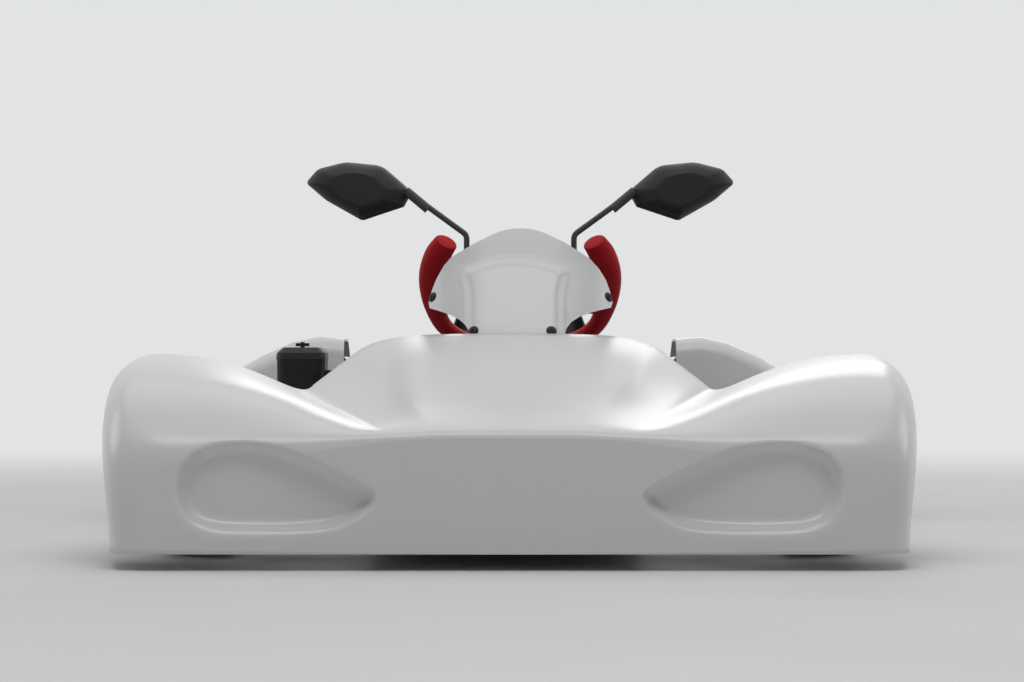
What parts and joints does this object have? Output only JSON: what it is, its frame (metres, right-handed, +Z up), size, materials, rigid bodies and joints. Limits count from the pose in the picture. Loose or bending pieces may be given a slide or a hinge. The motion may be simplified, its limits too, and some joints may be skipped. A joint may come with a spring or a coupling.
{
  "type": "racing kart",
  "caption": "Single-seat racing kart with a full-width moulded front body, steering fairing with mirrors, side pods, rear fenders, open engine with chain drive and working steering.",
  "frame": {"origin": "on the ground under the middle of the kart's length and width", "axes": "+Z up, nose towards -Y, driver's left towards +X"},
  "size_m": [1.38, 1.78, 0.6543],
  "materials": {
    "body_white": "gloss",
    "frame_black": "satin",
    "bright_steel": "satin",
    "aluminium": "satin",
    "tyre_rubber": "matte",
    "black_plastic": "satin",
    "red_grip": "satin",
    "mirror_glass": "gloss",
    "engine_cast": "satin",
    "seat_shell": "satin",
    "chain_steel": "satin"
  },
  "bodies": {
    "chassis": {"frame_rail_left": "frame_black", "frame_rail_right": "frame_black", "frame_cross_tubes": "frame_black", "kingpin_yokes": "frame_black", "column_support": "frame_black", "floor_tray": "aluminium", "seat": "seat_shell", "front_body": "body_white", "steering_fairing": "body_white", "fairing_bracket": "frame_black", "mirror_housings": "black_plastic", "mirror_glasses": "mirror_glass", "mirror_stems": "frame_black", "side_bars": "frame_black", "side_pod_left": "body_white", "side_pod_right": "body_white", "rear_fender_left": "body_white", "rear_fender_right": "body_white", "rear_bumper": "black_plastic", "chain": "chain_steel", "axle_bearings": "aluminium", "brake_caliper": "engine_cast", "seat_mounts": "frame_black", "engine_mount": "aluminium", "engine": "engine_cast", "clutch": "bright_steel", "air_cleaner": "black_plastic", "muffler": "bright_steel", "chain_guard": "frame_black", "fuel_tank": "black_plastic", "pedals": "bright_steel", "master_cylinder": "engine_cast", "fender_stays": "frame_black"},
    "steering": {"steering_column": "bright_steel", "steering_boss": "black_plastic", "steering_wheel": "red_grip"},
    "knuckle_left": {"stub_axle_left": "bright_steel"},
    "knuckle_right": {"stub_axle_right": "bright_steel"},
    "tie_rod_left": {"tie_rod_left": "bright_steel"},
    "tie_rod_right": {"tie_rod_right": "bright_steel"},
    "front_wheel_left": {"front_rim_left": "aluminium", "front_tyre_left": "tyre_rubber"},
    "front_wheel_right": {"front_rim_right": "aluminium", "front_tyre_right": "tyre_rubber"},
    "rear_axle": {"rear_axle": "bright_steel", "rear_rims": "aluminium", "rear_tyres": "tyre_rubber", "brake_disc": "bright_steel", "axle_sprocket": "aluminium"}
  },
  "joints": [
    {"name": "steer", "type": "hinge", "parent": "chassis", "child": "steering", "pos_m": [0.018, -0.13, 0.431], "axis": [0, 0.7071, 0.7071], "range_deg": [-45, 45]},
    {"name": "kingpin_left", "type": "hinge", "parent": "chassis", "child": "knuckle_left", "pos_m": [0.37, -0.52, 0.127], "axis": [0, 0, 1], "range_deg": [-25, 25]},
    {"name": "kingpin_right", "type": "hinge", "parent": "chassis", "child": "knuckle_right", "pos_m": [-0.37, -0.52, 0.127], "axis": [0, 0, 1], "range_deg": [-25, 25]},
    {"name": "rod_eye_left", "type": "hinge", "parent": "knuckle_left", "child": "tie_rod_left", "pos_m": [0.37, -0.425, 0.12], "axis": [0, 0, 1], "range_deg": [-25, 25]},
    {"name": "rod_eye_right", "type": "hinge", "parent": "knuckle_right", "child": "tie_rod_right", "pos_m": [-0.37, -0.425, 0.12], "axis": [0, 0, 1], "range_deg": [-25, 25]},
    {"name": "front_spin_left", "type": "hinge", "parent": "knuckle_left", "child": "front_wheel_left", "pos_m": [0.5, -0.52, 0.127], "axis": [1, 0, 0], "continuous": true},
    {"name": "front_spin_right", "type": "hinge", "parent": "knuckle_right", "child": "front_wheel_right", "pos_m": [-0.5, -0.52, 0.127], "axis": [1, 0, 0], "continuous": true},
    {"name": "rear_spin", "type": "hinge", "parent": "chassis", "child": "rear_axle", "pos_m": [0, 0.55, 0.135], "axis": [1, 0, 0], "continuous": true}
  ],
  "couplings": [
    {"joint": "kingpin_left", "follows": "steer", "ratio": 0.55556},
    {"joint": "kingpin_right", "follows": "steer", "ratio": 0.55556},
    {"joint": "rod_eye_left", "follows": "steer", "ratio": -0.55556},
    {"joint": "rod_eye_right", "follows": "steer", "ratio": -0.55556}
  ]
}
